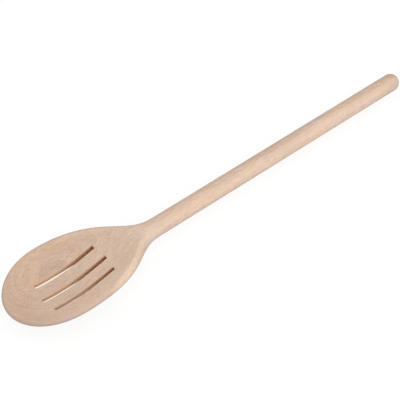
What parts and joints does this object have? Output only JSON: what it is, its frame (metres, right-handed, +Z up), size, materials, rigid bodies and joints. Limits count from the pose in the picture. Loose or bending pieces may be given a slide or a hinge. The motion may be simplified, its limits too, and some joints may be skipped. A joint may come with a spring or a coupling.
{
  "type": "slotted serving spoon",
  "caption": "Wooden serving spoon with an oval dished bowl pierced by parallel slots and a straight round handle with a rounded end.",
  "frame": {"origin": "under the middle of the spoon's length, on its centre plane, level with the underside of the bowl", "axes": "+X from the bowl's tip to the end of the handle, +Z up out of the dish, +Y to the side"},
  "size_m": [0.3, 0.0544, 0.0151],
  "materials": {
    "beech": "pale bare beech, sanded, matt"
  },
  "bodies": {
    "root": {"spoon": "beech"}
  },
  "joints": []
}
